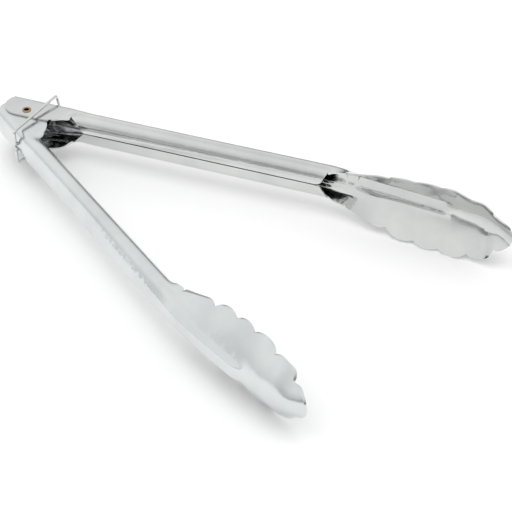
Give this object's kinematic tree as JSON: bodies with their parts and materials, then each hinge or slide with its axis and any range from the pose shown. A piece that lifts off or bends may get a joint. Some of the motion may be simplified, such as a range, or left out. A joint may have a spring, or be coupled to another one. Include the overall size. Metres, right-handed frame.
{
  "type": "kitchen tongs",
  "caption": "Spring loaded stainless kitchen tongs with two pressed arms, scalloped spoon jaws, a hollow hinge rivet and a wire lock ring.",
  "frame": {"origin": "centre of the hollow hinge rivet, on the hinge axis at mid height", "axes": "+X from the hinge towards the jaws along the line between the two arms, +Y towards the outer arm, +Z along the hinge axis, out of the side that is up when the tongs lie on a table"},
  "size_m": [0.288, 0.1782, 0.0422],
  "materials": {
    "outer_arm_steel": "bright polished stainless sheet",
    "inner_arm_steel": "satin stainless sheet",
    "rivet_brass": "plain brass coloured rivet",
    "sleeve_steel": "plain steel tube",
    "spring_steel": "drawn spring wire",
    "ring_wire": "bright drawn wire"
  },
  "bodies": {
    "outer_arm": {"outer_arm": "outer_arm_steel", "hinge_rivet": "rivet_brass", "spacer_sleeve": "sleeve_steel", "torsion_spring": "spring_steel"},
    "inner_arm": {"inner_arm": "inner_arm_steel"},
    "lock_ring": {"lock_ring": "ring_wire"}
  },
  "joints": [
    {"name": "arm_hinge", "type": "hinge", "parent": "outer_arm", "child": "inner_arm", "pos_m": [0, 0, 0], "axis": [0, 0, 1], "range_deg": [0, 33.6], "stiffness_Nm_per_rad": 1.2, "springref_deg": -28.65, "deforming": ["torsion_spring"]},
    {"name": "lock_ring_swing", "type": "hinge", "parent": "inner_arm", "child": "lock_ring", "pos_m": [0.01089, -0.01693, 0], "axis": [0, 0, 1], "range_deg": [-60.58, 0]}
  ],
  "couplings": [
    {"joint": "lock_ring_swing", "follows": "arm_hinge", "ratio": -1.8}
  ]
}
